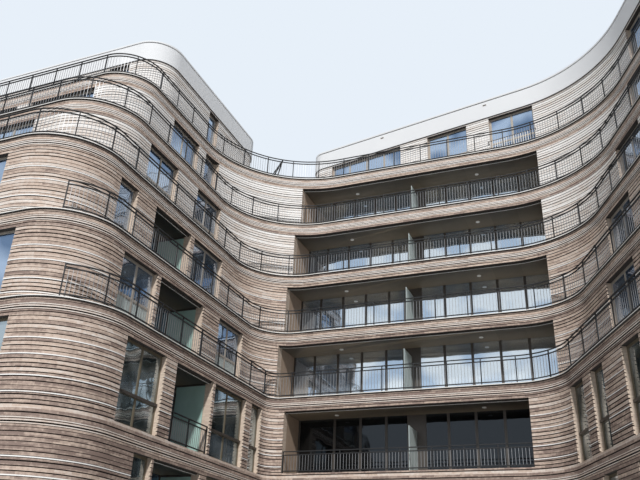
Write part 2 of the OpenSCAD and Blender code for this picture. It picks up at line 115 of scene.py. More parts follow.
def rounded(centre, radius, start, stop, *faces):
    """A round stretch of a plan about a centre, between two angles in degrees."""
    return ("arc", np.array(centre, float), radius, math.radians(start), math.radians(stop), faces)


def walk(stretch, t):
    """Points at the fractions t of a stretch, and the unit vectors that point into the building there.

    On a line the point is a + (b - a) t, on an arc it is the centre plus the radius at the angle in
    proportion to t. The building lies on the left of the way that the plan runs."""
    t = np.asarray(t, float)[:, None]
    if stretch[0] == "line":
        a, b = stretch[1], stretch[2]
        along = (b - a) / np.linalg.norm(b - a)
        return a + (b - a) * t, np.tile([-along[1], along[0]], (len(t), 1))
    centre, radius, start, stop = stretch[1:5]
    angle = start + (stop - start) * t
    spoke = np.hstack([np.cos(angle), np.sin(angle)])
    return centre + radius * spoke, -np.sign(stop - start) * spoke


def ends_of(path):
    """The first and the last point of an open path."""
    return walk(path[0], [0])[0][0], walk(path[-1], [1])[0][0]


def joined(path):
    """The stretches of an open path made to meet: each gap becomes a line from the end of the arc
    before it to the start of the arc after it, on the facades that the gap names."""
    out = list(path)
    for i, stretch in enumerate(path):
        if stretch[0] == "gap":
            out[i] = straight(ends_of(path[:i])[1], ends_of(path[i + 1:])[0], *stretch[1:])
    return out


def court_front(level, inset=0.0):
    """The rounded front of a ledge, from the left nose round the court to the right nose, moved
    inwards: offset lines keep their directions and offset arcs their centres."""
    i = level - FIRST_LEDGE
    x, y = wing_line[i] - inset, court_line[i] + inset
    corner = corner_line[i] + inset * math.tan(TURN / 2)
    nose, left, right = nose_r[i] - inset, left_r[i] + inset, right_r[i] + inset
    tangent = right * math.tan(TURN / 2)
    nose_y = front_line[i] + inset + nose
    nose_x = corner + (nose - math.cos(TURN) * (nose_y - y)) / math.sin(TURN)
    side = 90 - math.degrees(TURN)
    return joined([
        rounded((x - nose, nose_y), nose, -90, 0),
        ("gap", "wing"),
        rounded((x + left, y - left), left, 180, 90, "wing", "court"),
        ("gap", "court"),
        rounded((corner - tangent, y - right), right, 90, side, "court", "right"),
        ("gap", "right"),
        rounded((nose_x, nose_y), nose, 180 + side, 270),
    ])


def through(points, *faces):
    """Straight stretches from point to point, each on the next of the facades."""
    return [straight(a, b, face) for a, b, face in zip(points[:-1], points[1:], faces)]


def closed_plan(path, ends=0.0, back=0.0):
    """A storey's whole plan: the front path, and the two party walls and the rear wall behind it."""
    low, high = ends_of(path)
    a, b, y = left_x + ends, right_x - ends, rear_y - back
    corners = (high, (b, high[1]), (b, y), (a, y), (a, low[1]))
    return [straight(corners[-1], low, "front"), *path, *through(corners, "front", "party", "rear", "party")]


def storey_plan(k, inset=0.0):
    """The outer face of a storey's wall, which stands a lip behind the ledge on top of it."""
    level = max(k + 1, FIRST_LEDGE)
    return closed_plan(court_front(level, LIP + inset), inset, inset)


def left_pavilion_plan(inset=0.0):
    """The left pavilion, moved inwards."""
    x, rear, front = left_pavilion_x - inset, left_pavilion_rear - inset, pavilion_front + inset
    nose, corner = pavilion_nose - inset, pavilion_rear_r - inset
    end = left_x + inset
    path = joined([
        rounded((x - nose, front + nose), nose, -90, 0),
        ("gap", "wing"),
        rounded((x - corner, rear - corner), corner, 0, 90),
    ])
    first, last = ends_of(path)
    corners = (last, (end, rear), (end, front))
    return [straight(corners[-1], first, "front"), *path, *through(corners, "north", "party")]


def right_pavilion_plan(inset=0.0):
    """The right pavilion, moved inwards: a court face turned by the skew and a face of the right
    wing, which meet in a wide hollow arc."""
    middle = (TURN + SKEW) / 2
    inwards = np.array([math.sin(middle), math.cos(middle)]) / math.cos((TURN - SKEW) / 2)
    corner = skew_corner + inset * inwards
    hollow = skew_r + inset
    nose, front = pavilion_nose - inset, pavilion_front + inset
    nose_x = corner[0] + (nose - math.cos(TURN) * (front + nose - corner[1])) / math.sin(TURN)
    left, x = right_pavilion_r - inset, right_pavilion_x + inset
    left_y = skew_y + (inset + left) / math.cos(SKEW) - (x + left) * math.tan(SKEW)
    turn, skew = math.degrees(TURN), math.degrees(SKEW)
    path = joined([
        rounded((x + left, left_y), left, 180, 270 - skew),
        ("gap", "skew"),
        rounded(corner - hollow * inwards, hollow, 90 - skew, 90 - turn, "skew", "right"),
        ("gap", "right"),
        rounded((nose_x, front + nose), nose, 270 - turn, 270),
    ])
    first, last = ends_of(path)
    end, rear = right_x - inset, rear_y - inset
    corners = (last, (end, front), (end, rear), (x, rear), first)
    return [*path, *through(corners, "front", "party", "rear", "west")]


def facades(k):
    """The facades of a storey: for each the point from which its widths run, their direction, and
    the direction into the building."""
    slant = (math.cos(TURN), -math.sin(TURN))
    lines = {"rear": ((0, rear_y), (-1, 0))}
    if k == TOP:
        lines.update({
            "front": ((0, pavilion_front), (1, 0)), "wing": ((left_pavilion_x, court_y), (0, 1)),
            "right": (skew_corner, slant), "skew": ((0, skew_y), (math.cos(SKEW), -math.sin(SKEW))),
            "west": ((right_pavilion_x, rear_y), (0, -1)), "north": ((0, left_pavilion_rear), (-1, 0)),
        })
    else:
        i = max(k + 1, FIRST_LEDGE) - FIRST_LEDGE
        corner = corner_line[i] + LIP * math.tan(TURN / 2)
        lines.update({
            "front": ((0, front_line[i] + LIP), (1, 0)), "wing": ((wing_line[i] - LIP, court_y), (0, 1)),
            "court": ((0, court_line[i] + LIP), (1, 0)), "right": ((corner, court_line[i] + LIP), slant),
        })
    return {face: (np.array(origin, float), np.array(along, float), np.array([-along[1], along[0]], float))
            for face, (origin, along) in lines.items()}


SILL, REAR_SILL, KERB = 0.08, 0.85, 0.2
WIDE, FRONT_PITCH, RIGHT_FRONT = 2.25, 3.4, 14.7
REAR_WIDE, REAR_PITCH, REAR_MARGIN, REAR_END = 2.2, 4.6, 1.9, 1.0
LOW_RIGHT = ((1.25, 1.25), (3.2, 1.1), (5.85, 1.25), (8.6, WIDE))


def storey(row_end=0.0, count=0, rear_start=left_x + REAR_MARGIN, **more):
    """The windows of a storey as (facade, start, width, sill height): the even row of the rear wall,
    a row in the left wing's front from its right end, one in the right wing's front, and those that
    each further facade holds as (start, width)."""
    rear = [("rear", -x - REAR_WIDE, REAR_WIDE, REAR_SILL)
            for x in np.arange(rear_start, right_x - REAR_WIDE - REAR_END, REAR_PITCH)]
    front = [("front", row_end - WIDE - i * FRONT_PITCH, WIDE, SILL) for i in range(count)]
    front.append(("front", RIGHT_FRONT, WIDE, SILL))
    return rear + front + [(face, *place, SILL) for face, row in more.items() for place in row]


windows = [
    storey(-8.5, 3, right=LOW_RIGHT, wing=((-10.3, WIDE), (-7.37, 2.57), (-4.65, 2.55)),
           court=((-5.4, 1.7), (-3.35, 1.7), (1.01, 1.7), (3.06, 1.7))),
    storey(-8.5, 3, right=LOW_RIGHT, wing=((-9.1, 1.0), (-4.65, 2.55), (-1.6, 0.95))),
    storey(-8.5, 3, right=LOW_RIGHT, wing=((-10.3, WIDE), (-4.65, 2.55), (-1.6, 0.95))),
    storey(-9.15, 3, right=((3.7, WIDE), (7.4, WIDE)), wing=((-10.3, 2.05), (-3.7, 2.1))),
    storey(-10.35, 3, right=((3.1, 2.1), (6.8, WIDE)), wing=((-10.3, 1.07), (-5.2, 2.4))),
    storey(-11.7, 2, right=((3.6, 2.1), (6.8, WIDE)), wing=((-8.05, 2.1), (-4.3, 2.1))),
    storey(front=((-14.6, 3.5), (-18.2, 2.8)), right=((4.3, 2.1),), wing=((-5.65, WIDE), (-2.75, 1.1))),
    storey(rear_start=-4.8, front=((-12.7, 1.15), (-17.6, WIDE)), wing=((-2.0, 0.95),),
           skew=((-5.7, 4.4), (0.31, 2.23), (3.76, 2.29)), right=((3.8, 2.1),), west=((1.7, 2.2),),
           north=((11.9, 2.2), (16.2, 2.2))),
]
upper_loggia = ("court", -5.95, 11.9, 0.0)
lower_loggia = ("court", -5.4, 10.16, KERB)
loggias = [
    [], [lower_loggia, ("wing", -8.0, 2.9, SILL)], [lower_loggia, ("wing", -7.37, 2.57, SILL)],
    [upper_loggia, ("wing", -8.05, 3.05, 0.0)], [upper_loggia, ("wing", -8.05, 2.6, 0.0)],
    [upper_loggia], [upper_loggia], [],
]
ENTRANCE = ("court", -1.22, 1.8, 0.0)


def foot_z(k, opening):
    """Height of an opening's foot: on the bare slab where it has no sill."""
    return slab_high[k] if opening[3] == 0 else floor_z[k] + (slab_high[0] if k == 0 else 0) + opening[3]


ARC_STEP, PROBES = math.radians(4), 181
Ring = namedtuple("Ring", "points normals insides faces run")


def stations(outer, inner, axes=None, openings=()):
    """Stations round a closed plan, where a wall's columns stand.

    Each stretch is cut where an opening's edge crosses it, on the outer and the inner face alike, and
    arcs also every few degrees. The ring holds the outer points, the vectors into the wall, the inner
    points, the facades of each column, and how far round each point lies."""
    points, normals, insides, faces = [], [], [], []
    probe = np.linspace(0, 1, PROBES)
    for out, ins in zip(outer, inner):
        cuts = [(0.0, 0.0), (1.0, 1.0)]
        for opening in openings:
            if opening[0] not in out[-1]:
                continue
            origin, along = axes[opening[0]][:2]
            for edge in (opening[1], opening[1] + opening[2]):
                places = []
                for side in (out, ins):
                    run = (walk(side, probe)[0] - origin) @ along
                    way = 1 if run[-1] > run[0] else -1
                    if min(run[0], run[-1]) < edge < max(run[0], run[-1]):
                        places.append(np.interp(edge, run[::way], probe[::way]))
                if len(places) == 2:
                    cuts.append(tuple(places))
        cuts = np.array(sorted(cuts))
        fine = [cuts[:1]]
        for a, b in zip(cuts[:-1], cuts[1:]):
            count = 1
            if out[0] == "arc":
                count = max(1, math.ceil(abs(out[4] - out[3]) * (b[0] - a[0]) / ARC_STEP))
            fine.append(a + (b - a) * (np.arange(1, count + 1) / count)[:, None])
        fine = np.vstack(fine)
        point, normal = walk(out, fine[:, 0])
        points.append(point)
        normals.append(normal)
        insides.append(walk(ins, fine[:, 1])[0])
        faces += [out[-1]] * (len(fine) - 1)
    for i in range(len(points)):
        before, after = normals[i - 1][-1], normals[i][0]
        mitre = (before + after) / (1 + before @ after)
        if "party" in outer[i - 1][-1]:
            mitre = after
        if "party" in outer[i][-1]:
            mitre = before
        normals[i - 1][-1] = normals[i][0] = mitre
    sides = [np.vstack([block[:-1] for block in blocks] + [blocks[0][:1]])
             for blocks in (points, normals, insides)]
    steps = np.linalg.norm(np.diff(sides[0], axis=0), axis=1)
    return Ring(*sides, faces, np.concatenate([[0], np.cumsum(steps)]))


COURSE, JOINT_H, JOINT_D = 0.13, (0.014, 0.042), 0.05
STRIP_H, STRIP_SHADE, STRIP_OUT = 0.034, 0.018, 0.004
# How far a draw varies a course's tone, how much of it the band under a ledge keeps, how pale the
# strips there are at least, and how pale a course is at most
TONE_SPREAD, BAND_TONE, BAND_STRIP, PALEST = 0.11, 0.25, 0.45, 0.95
Rows = namedtuple("Rows", "edges depth tone")


def courses(low, high, top, pale, strips, breaks=(), band=BAND):
    """The rows of a wall between two heights, counted down from the top of its storey.

    A course is a brick face over a raked joint. pale sets how pale the courses are, around which a
    fixed draw varies them and their joints, and those in the band under the top are browner. Thin
    cream strips lie at the given depths under the top, each over a joint. The rows hold the heights of
    their edges, their depths behind the wall face and their tones: 0 brown, 1 cream, -1 in a joint."""
    count = math.ceil((top - low) / COURSE) + 1
    beds = top - COURSE * np.arange(1, count + 1)
    chance = np.random.default_rng(round(top * 100))
    joint_h = chance.uniform(*JOINT_H, count)
    draw = chance.normal(0, TONE_SPREAD, count)
    strips = top - np.array(strips)
    shades = strips - STRIP_H - STRIP_SHADE
    edges = np.concatenate([beds, beds + joint_h, strips, strips - STRIP_H, shades, breaks, [low, high]])
    edges = np.unique(np.round(edges[(edges >= low) & (edges <= high)], 4))
    middle = (edges[1:] + edges[:-1]) / 2
    index = np.clip(np.floor((top - middle) / COURSE).astype(int), 0, count - 1)
    joint = middle < (beds + joint_h)[index]
    strip = ((middle < strips[:, None]) & (middle > strips[:, None] - STRIP_H)).any(0)
    joint |= ((middle < strips[:, None] - STRIP_H) & (middle > shades[:, None])).any(0)
    banded = middle > top - band
    tone = np.clip(np.where(banded, BAND_TONE, 1.0) * pale + draw[index], 0, PALEST)
    strip_tone = np.where(banded, BAND_STRIP + pale * BAND_STRIP, 1.0)
    tone = np.where(strip, strip_tone, np.where(joint, -1.0, tone))
    return Rows(edges, np.where(strip, -STRIP_OUT, np.where(joint, JOINT_D, 0.0)), tone)


def quads(*corners):
    """Four-sided faces from four arrays of corner numbers."""
    return np.stack(corners, 1)


def strip_of(a, b):
    """The faces between two lines of corner numbers."""
    return quads(a[:-1], a[1:], b[1:], b[:-1])


def raised(flat, heights, first=0):
    """A grid of points from places in plan, a row of them for each station, and the height of each
    column. Gives the points row by row, and the grid of their numbers, which run from first."""
    shape = (len(flat), len(heights))
    grid = np.dstack([np.broadcast_to(flat, (*shape, 2)), np.broadcast_to(heights, shape)])
    return grid.reshape(-1, 3), first + np.arange(len(flat) * len(heights)).reshape(shape)


def coursed(ring, rows, row_slots, party_slot=None, solid=None):
    """The outer face of a coursed wall: its points, the grid of their numbers, and groups of faces.

    For each station the grid holds the two edges of every row, moved into the wall by the row's
    depth, so columns 2j and 2j + 1 are the lower and upper edge of row j. Each solid cell gives a
    face, and a level step up to the next row, but a party wall is plain."""
    levels = len(rows.depth)
    sides = np.repeat(np.arange(levels), 2)
    flat = ring.points[:, None] + ring.normals[:, None] * rows.depth[sides][None, :, None]
    outer, grid = raised(flat, rows.edges[sides + np.tile([0, 1], levels)])
    if solid is None:
        solid = np.ones((len(ring.faces), levels), bool)
    party = np.array(["party" in face for face in ring.faces])
    i, j = np.nonzero(solid)
    slots = np.broadcast_to(row_slots, levels)[j]
    if party_slot is not None:
        slots = np.where(party[i], party_slot, slots)
    column, row = np.nonzero(solid[:, :-1] & solid[:, 1:] & ~party[:, None])
    fronts, steps = [quads(grid[a, b], grid[a + 1, b], grid[a + 1, b + 1], grid[a, b + 1])
                     for a, b in ((i, 2 * j), (column, 2 * row + 1))]
    # The steps between rows take a joint's tone, which the brick paints near black as painted shade.
    return outer, grid, [(fronts, slots, rows.tone[j]), (steps, 0, -1.0)]


BRICK, REVEAL, PARTY, ROOM, HEAD_SHADE = range(5)


def masonry(name, ring, axes, rows, openings, k):
    """A hollow wall as a mesh, from the stations of its plan and the rows of its courses.

    The outer face is the grid of columns and rows. A cell inside an opening is left out, and its
    edges are closed by reveals from the outer face to the inner one."""
    levels = len(rows.depth)
    middle = (rows.edges[1:] + rows.edges[:-1]) / 2
    between = (ring.points[1:] + ring.points[:-1]) / 2
    solid = np.ones((len(between), levels), bool)
    for opening in openings:
        face, start, width = opening[:3]
        origin, along = axes[face][:2]
        place = (between - origin) @ along
        wide = np.array([face in on for on in ring.faces]) & (place > start) & (place < start + width)
        tall = (middle > foot_z(k, opening)) & (middle < head_z[k])
        solid &= ~(wide[:, None] & tall[None, :])
    outer, out, groups = coursed(ring, rows, BRICK, PARTY, solid)
    inner, ins = raised(ring.insides[:, None], rows.edges, len(outer))
    i, j = np.nonzero(solid)
    groups.append((quads(ins[i, j + 1], ins[i + 1, j + 1], ins[i + 1, j], ins[i, j]), ROOM))
    beside = np.pad(solid, ((0, 0), (1, 1)))
    i, j = np.nonzero(solid & ~beside[:, 2:])
    groups.append((quads(out[i, 2 * j + 1], out[i + 1, 2 * j + 1], ins[i + 1, j + 1], ins[i, j + 1]), REVEAL))
    # The undersides over the openings take the near-black material, painted shade.
    i, j = np.nonzero(solid & ~beside[:, :-2])
    groups.append((quads(ins[i, j], ins[i + 1, j], out[i + 1, 2 * j], out[i, 2 * j]), HEAD_SHADE))
    before = np.roll(solid, 1, 0)
    i, j = np.nonzero(before & ~solid)
    groups.append((quads(out[i, 2 * j], ins[i, j], ins[i, j + 1], out[i, 2 * j + 1]), REVEAL))
    i, j = np.nonzero(~before & solid)
    groups.append((quads(ins[i, j], out[i, 2 * j], out[i, 2 * j + 1], ins[i, j + 1]), REVEAL))
    place = np.vstack([outer, inner])
    across = np.concatenate([np.repeat(ring.run, 2 * levels), np.repeat(ring.run + WALL, levels + 1)])
    metres = np.stack([across, place[:, 2] - storey_top[k]], 1)
    return make_piece(name, place, groups, wall_materials, metres)


SHARP, MERGED = math.radians(30), 2e-5


def make_piece(name, points, groups, materials, metres=None):
    """Puts points and groups of faces, each (corners, slot) or (corners, slot, tone), into a mesh and
    makes it a piece that rides on the building. Points that coincide are joined. metres holds each
    point's place on the unrolled wall."""
    groups = [(*group, 0.0) for group in groups if len(group[0])]
    slots, tone = [np.concatenate([np.broadcast_to(group[which], len(group[0])) for group in groups])
                   for which in (1, 2)]
    mesh = bpy.data.meshes.new(name)
    mesh.from_pydata(points, [], [face for group in groups for face in group[0].tolist()])
    mesh.polygons.foreach_set("material_index", slots.astype(np.int32))
    if metres is not None:
        corners = np.concatenate([group[0].ravel() for group in groups])
        mesh.uv_layers.new(name="metres").uv.foreach_set("vector", metres[corners].astype(np.float32).ravel())
        mesh.attributes.new("tone", "FLOAT", "FACE").data.foreach_set("value", tone.astype(np.float32))
    work = bmesh.new()
    work.from_mesh(mesh)
    bmesh.ops.remove_doubles(work, verts=work.verts, dist=MERGED)
    loose = [vert for vert in work.verts if not vert.link_faces]
    bmesh.ops.delete(work, geom=loose, context="VERTS")
    work.to_mesh(mesh)
    work.free()
    mesh.polygons.foreach_set("use_smooth", np.ones(len(mesh.polygons), bool))
    mesh.set_sharp_from_angle(angle=SHARP)
    for material in materials:
        mesh.materials.append(material)
    piece = bpy.data.objects.new(name, mesh)
    bpy.context.scene.collection.objects.link(piece)
    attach(piece, "root")
    return piece


class Wire:
    """A socket in a material's node tree. Arithmetic on it adds Math nodes, and node() any other."""

    def __init__(self, tree, socket=None):
        self.tree, self.socket = tree, socket

    def node(self, kind, settings=None, output=0, **inputs):
        """Adds a node: first its settings, a ramp's stops among them, then the wires or values of its
        sockets by name or place, and gives back the output asked for."""
        made = self.tree.nodes.new("ShaderNode" + kind)
        for key, value in (settings or {}).items():
            if key == "stops":
                stops = made.color_ramp.elements
                stops.remove(stops[-1])
                stops[0].position, stops[0].color = value[0][0], (*value[0][1], 1)
                for position, color in value[1:]:
                    stops.new(position).color = (*color, 1)
            else:
                setattr(made, key, value)
        for key, value in inputs.items():
            target = made.inputs[int(key[1:]) if key[0] == "_" else key.replace("_", " ")]
            if isinstance(value, Wire):
                self.tree.links.new(value.socket, target)
            else:
                target.default_value = (*value, 1) if target.type == "RGBA" else value
        return Wire(self.tree, made.outputs[output])

    def math(self, operation, a, b):
        return self.node("Math", {"operation": operation}, _0=a, _1=b)

    def __add__(self, other):
        return self.math("ADD", self, other)

    def __sub__(self, other):
        return self.math("SUBTRACT", self, other)

    def __rsub__(self, other):
        return self.math("SUBTRACT", other, self)

    def __mul__(self, other):
        return self.math("MULTIPLY", self, other)

    __radd__ = __add__
    __rmul__ = __mul__

    def over(self, edge):
        """1 where the wire is over the edge, else 0."""
        return self.math("GREATER_THAN", self, edge)

    def between(self, low, high):
        """The wire's way from low to high as 0 to 1, and no further."""
        return self.node("MapRange", {"clamp": True}, Value=self, From_Min=low, From_Max=high)

    def mix(self, a, b):
        """The colour a where the wire is 0 and b where it is 1."""
        return self.node("Mix", {"data_type": "RGBA"}, 2, _0=self, _6=a, _7=b)

    def noise(self, scale, detail=2.0):
        """Soft noise in the object's own coordinates."""
        place = self.node("TexCoord", output="Object")
        return self.node("TexNoise", {}, "Fac", Vector=place, Scale=scale, Detail=detail)

    def bond(self, where, offset, width, height, gap, blur, darkest, joint=0.0):
        """The greys of bricks or tiles laid on UV or Object coordinates, each between darkest and 1."""
        greys = {"Color1": (darkest,) * 3, "Color2": (1, 1, 1), "Mortar": (joint,) * 3}
        place = self.node("TexCoord", output=where)
        laid = self.node("TexBrick", {"offset": offset}, Vector=place, Scale=1.0, Mortar_Size=gap,
                         Mortar_Smooth=blur, Bias=0.0, Brick_Width=width, Row_Height=height, **greys)
        return self.node("SeparateColor", Color=laid)

    def surface(self, **inputs):
        """The material's surface, with a bump where a height is given as (height, depth in metres)."""
        height = inputs.pop("height", None)
        if height:
            inputs["Normal"] = self.node("Bump", Height=height[0], Distance=height[1], Strength=1.0)
        self.tree.links.new(self.node("BsdfPrincipled", **inputs).socket, self.tree.nodes[0].inputs[0])


def blank(name):
    """A material with only its output node, and a wire that starts its nodes."""
    material = bpy.data.materials.new(name)
    material.use_nodes = True
    material.node_tree.nodes.clear()
    material.node_tree.nodes.new("ShaderNodeOutputMaterial")
    return material, Wire(material.node_tree)


def two_tone(name, low, high, scale, detail=2.0, rough=0.9, vary=0.0, bump=None, **inputs):
    """A material that wanders between two colours with a noise of a scale and detail. Its roughness
    may vary with it, and bump gives the scale of a relief, its depth in metres and any detail."""
    material, wire = blank(name)
    cloud = wire.noise(scale, detail)
    if bump:
        inputs["height"] = (wire.noise(bump[0], *bump[2:]), bump[1])
    if vary:
        rough = cloud * vary + rough
    wire.surface(Base_Color=cloud.mix(low, high), Roughness=rough, **inputs)
    return material


BROWN, DARK_BROWN = (0.61, 0.475, 0.385), (0.25, 0.18, 0.15)
# The joints' colour is mortar darkened to near black with painted shade; the steps between rows take it too.
CREAM, DULL_CREAM, JOINT_SHADE = (0.95, 0.92, 0.885), (0.83, 0.765, 0.705), (0.028, 0.02, 0.016)
brick, wire = blank("long_brick")
tone = wire.node("Attribute", {"attribute_name": "tone"}, "Fac")
each = wire.bond("UV", offset=0.37, width=0.49, height=0.065, gap=0.003, blur=0.2, darkest=0.0, joint=0.5)
grain = wire.noise(60.0)
cloud, speck = wire.noise(0.8, 3.0), wire.noise(9.0, 3.0)
shade = tone + (each - 0.5) * 0.26 + (cloud - 0.5) * 0.3 + (speck - 0.5) * 0.5
stops = ((0.0, DARK_BROWN), (0.3, BROWN), (0.75, DULL_CREAM), (1.0, CREAM))
fired = wire.node("ValToRGB", {"stops": stops}, Fac=shade)
wire.surface(Base_Color=(1 - tone.over(-0.5)).mix(fired, JOINT_SHADE), Roughness=grain * 0.2 + 0.7,
             height=(each * 0.3 + grain * 0.7, 0.003))

reveal, wire = blank("reveal_brick")
grain = wire.noise(45.0, 3.0)
each = wire.bond("UV", offset=0.5, width=0.24, height=0.05, gap=0.004, blur=0.1, darkest=0.2)
wire.surface(Base_Color=(each * 0.7 + grain * 0.3).mix((0.5, 0.38, 0.3), (0.72, 0.6, 0.48)),
             Roughness=0.85, height=(each + grain, 0.003))

party = two_tone("party_wall_render", (0.5, 0.48, 0.45), (0.6, 0.58, 0.55), 0.5, 5.0, bump=(80.0, 0.002))
plaster = two_tone("room_plaster", (0.62, 0.6, 0.57), (0.68, 0.66, 0.63), 30.0)
# Painted shade: the undersides over the openings and the gap at the front of the loggia ceilings are near
# black.
underside_shade = two_tone("head_underside_painted_shade", (0.03, 0.025, 0.022), (0.05, 0.042, 0.036), 50.0, rough=0.85)

wall_materials = (brick, reveal, party, plaster, underside_shade)
BAND_LINES = (0.24, 0.31, 0.39)
STOREY_LINES = (1.28, 1.77, 2.4, 2.87)
# How pale each storey's brick is: a real rise from brown to cream, with the lowest storeys' darker brown
# partly painted shade.
PALENESS = (0.06, 0.08, 0.22, 0.28, 0.36, 0.7, 0.9, 0.92)


def storey_wall(name, k, plans, openings, lines, band):
    """The coursed wall of a storey between its outer and its inner plan, from slab to slab."""
    breaks = [foot_z(k, opening) for opening in openings] + [head_z[k]]
    rows = courses(slab_high[k], wall_high[k], storey_top[k], PALENESS[k], lines, breaks, band)
    axes = facades(k)
    return masonry(name, stations(*plans, axes, openings), axes, rows, openings, k)


for k, name in enumerate(NAMES[:TOP]):
    openings = windows[k] + loggias[k] + ([ENTRANCE] if k == 0 else [])
    plans = (storey_plan(k), storey_plan(k, WALL))
    wall = storey_wall(f"{name}_brickwork", k, plans, openings, BAND_LINES + STOREY_LINES, BAND)
    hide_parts(f"{name}_wall")
for name, plan in (("left", left_pavilion_plan), ("right", right_pavilion_plan)):
    on_it = set(sum((stretch[-1] for stretch in plan()), ()))
    openings = [opening for opening in windows[TOP] if opening[0] in on_it]
    wall = storey_wall(f"{name}_pavilion_brickwork", TOP, (plan(), plan(WALL)), openings, STOREY_LINES, 0.0)
    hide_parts(f"{name}_pavilion_wall")

# The floors are concrete slabs on the walls, faced with the same brick courses as the wall below them.
# The ground slab shows as a low plinth of dark stone.
def on_top(outline, z, facing):
    """A flat face over a closed outline at the height z, as points and triangles that face up or down."""
    flat = [Vector((x, y, 0)) for x, y in outline]
    triangles = np.array(tessellate_polygon([flat]))
    a, b, c = (outline[triangles[:, side]] for side in range(3))
    turned = (b - a)[:, 0] * (c - a)[:, 1] - (b - a)[:, 1] * (c - a)[:, 0]
    triangles = np.where((turned * facing < 0)[:, None], triangles[:, ::-1], triangles)
    return np.column_stack([outline, np.full(len(outline), z)]), triangles


def slab(name, ring, rows, materials, edge=0, border=1, deck=1, under=1):
    """A plate from the stations of its plan: its edge in rows, a border on top as wide as the ring's
    two faces lie apart, the deck within it, and its underside. edge, border, deck and under are the
    numbers of their materials."""
    outer, grid, groups = coursed(ring, rows, edge, border)
    first, columns = len(outer), len(ring.faces)
    deck_points, deck_faces = on_top(ring.insides[:-1], rows.edges[-1], 1)
    base_points, base_faces = on_top(outer[grid[:-1, 0], :2], rows.edges[0], -1)
    rim = first + np.arange(columns + 1) % columns
    groups += [(strip_of(grid[:, -1], rim), border), (first + deck_faces, deck),
               (first + columns + base_faces, under)]
    across = np.concatenate([np.repeat(ring.run, grid.shape[1]), deck_points[:, 0], base_points[:, 0]])
    upright = outer[:, 2] - rows.edges[-1] - COPING
    upright = np.concatenate([upright, deck_points[:, 1], base_points[:, 1]])
    return make_piece(name, np.vstack([outer, deck_points, base_points]), groups, materials,
                      np.stack([across, upright], 1))


concrete = two_tone("concrete", (0.42, 0.41, 0.39), (0.52, 0.51, 0.49), 1.3, 4.0, 0.85, bump=(50.0, 0.002))
stone = two_tone("plinth_stone", (0.13, 0.12, 0.12), (0.24, 0.23, 0.22), 120.0, rough=0.6,
                 bump=(120.0, 0.001))

for k in range(1, TOP + 1):
    ring = stations(storey_plan(k - 1), storey_plan(k - 1, WALL))
    rows = courses(slab_low[k], slab_high[k], floor_z[k], PALENESS[k], BAND_LINES)
    edge = slab(f"{NAMES[k]}_slab", ring, rows, (brick, concrete))
    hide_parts(slab_nodes[k])
ring = stations(storey_plan(0), storey_plan(0, WALL))
rows = Rows(np.array([0, slab_high[0]]), np.zeros(1), np.zeros(1))
base = slab("plinth", ring, rows, (stone, stone, concrete), under=2)
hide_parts("ground_slab")

# The ledges: a thin white coping with a shadow gap under its nose, near black with painted shade, runs
# round the whole block at each terrace, around decks of pale paving slabs. They lie on the slabs.
GAP_DEPTH, NOSE_H, COPING_W = 0.045, 0.03, 0.3
coping = two_tone("white_coping", (0.84, 0.81, 0.76), (0.92, 0.9, 0.86), 2.0, 4.0, 0.6)
# Painted shade: a near-black material for the gaps, joints and mouths that lie in shadow.
painted_shadow_gap = two_tone("painted_shadow_gap", (0.05, 0.045, 0.04), (0.08, 0.07, 0.065), 40.0)

paving, wire = blank("terrace_paving")
tile = wire.bond("Object", offset=0.0, width=0.6, height=0.6, gap=0.006, blur=0.0, darkest=0.2)
grit = wire.noise(70.0)
paved = (tile * 0.6 + grit * 0.4).mix((0.34, 0.33, 0.31), (0.56, 0.54, 0.51))
wire.surface(Base_Color=tile.over(0.05).mix((0.1, 0.1, 0.1), paved), Roughness=0.8,
             height=(tile + grit * 0.2, 0.003))

for level in range(FIRST_LEDGE, TOP + 1):
    nose, kerb = court_front(level), court_front(level, COPING_W)
    ring = stations(closed_plan(nose, 0.0, -LIP), closed_plan(kerb, COPING_W, COPING_W - LIP))
    top = floor_z[level]
    rows = Rows(np.array([top - COPING, top - NOSE_H, top]), np.array([GAP_DEPTH, 0.0]), np.zeros(2))
    ledge = slab(f"{NAMES[level]}_coping", ring, rows, (painted_shadow_gap, coping, paving), (0, 1), 1, 2, 0)
    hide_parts(f"{NAMES[level]}_ledge")

# The crowns: tall smooth rings of white render round the roofs of the two pavilions, with a thin joint
# at the foot and a deep one under the cap, both near black with painted shade. They stand on the
# pavilion walls.
render = two_tone("white_render", (0.8, 0.81, 0.82), (0.87, 0.875, 0.88), 0.7, 5.0, 0.75, bump=(90.0, 0.001))

CROWN_LIP, CROWN_SEAT, FOOT_JOINT = 0.06, 0.25, 0.015
# How far under the top the joint of the cap begins and ends, and its depth
CAP_JOINT_LOW, CAP_H, CAP_JOINT_D = 0.15, 0.08, 0.05
for name, plan in (("left", left_pavilion_plan), ("right", right_pavilion_plan)):
    ring = stations(plan(-CROWN_LIP), plan(CROWN_SEAT))
    edges = np.array([crown_low, crown_low + FOOT_JOINT, crown_high - CAP_JOINT_LOW, crown_high - CAP_H,
                      crown_high])
    rows = Rows(edges, np.array([FOOT_JOINT, 0.0, CAP_JOINT_D, 0.0]), np.zeros(4))
    outer, grid, groups = coursed(ring, rows, (1, 0, 1, 0))
    inner, within = raised(ring.insides[:, None], (crown_low, crown_high), len(outer))
    groups += [(strip_of(within[:, 1], within[:, 0]), 0), (strip_of(grid[:, -1], within[:, 1]), 0),
               (strip_of(within[:, 0], grid[:, 0]), 1)]
    crown = make_piece(f"{name}_crown_render", np.vstack([outer, inner]), groups, (render, painted_shadow_gap))
    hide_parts(f"{name}_crown")

